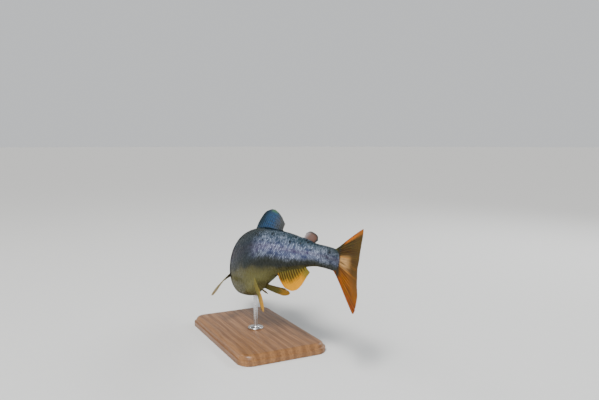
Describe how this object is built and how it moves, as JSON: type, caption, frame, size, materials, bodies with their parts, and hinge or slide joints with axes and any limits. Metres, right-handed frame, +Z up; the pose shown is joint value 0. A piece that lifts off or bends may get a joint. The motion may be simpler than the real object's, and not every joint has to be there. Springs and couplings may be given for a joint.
{
  "type": "rainbow trout",
  "caption": "Life-size rainbow trout, turning and banking as it swims, with spread fins, on a flat base with one short rod.",
  "frame": {"origin": "centre of the stand's underside, straight below the place where the rod meets the belly", "axes": "+X from the head to the tail, +Y to the fish's right flank, +Z up"},
  "size_m": [0.4417, 0.15, 0.2223],
  "materials": {
    "skin_head": "painted cast skin, satin, olive grey with a muted pink cheek",
    "skin_flank": "painted cast skin with small silvery scales, steel blue above and olive below",
    "eye": "polished glass eye, black pupil in a brassy ring",
    "fin_dark": "thin translucent resin fin, blue grey with dark spots",
    "fin_amber": "thin translucent resin fin, olive root and orange edge",
    "stand_wood": "oiled fine-grained wood",
    "stand_steel": "fine turned steel"
  },
  "bodies": {
    "root": {"head": "skin_head", "lower_jaw": "skin_head", "gill_cover_left": "skin_head", "gill_cover_right": "skin_head", "eye_left": "eye", "eye_right": "eye", "trunk": "skin_flank", "tail_base": "skin_flank", "dorsal_fin": "fin_dark", "adipose_fin": "fin_dark", "anal_fin": "fin_amber", "caudal_fin": "fin_amber", "pectoral_fin_left": "fin_amber", "pectoral_fin_right": "fin_amber", "pelvic_fin_left": "fin_amber", "pelvic_fin_right": "fin_amber", "stand_base": "stand_wood", "stand_flange": "stand_steel", "stand_rod": "stand_steel"}
  },
  "joints": []
}
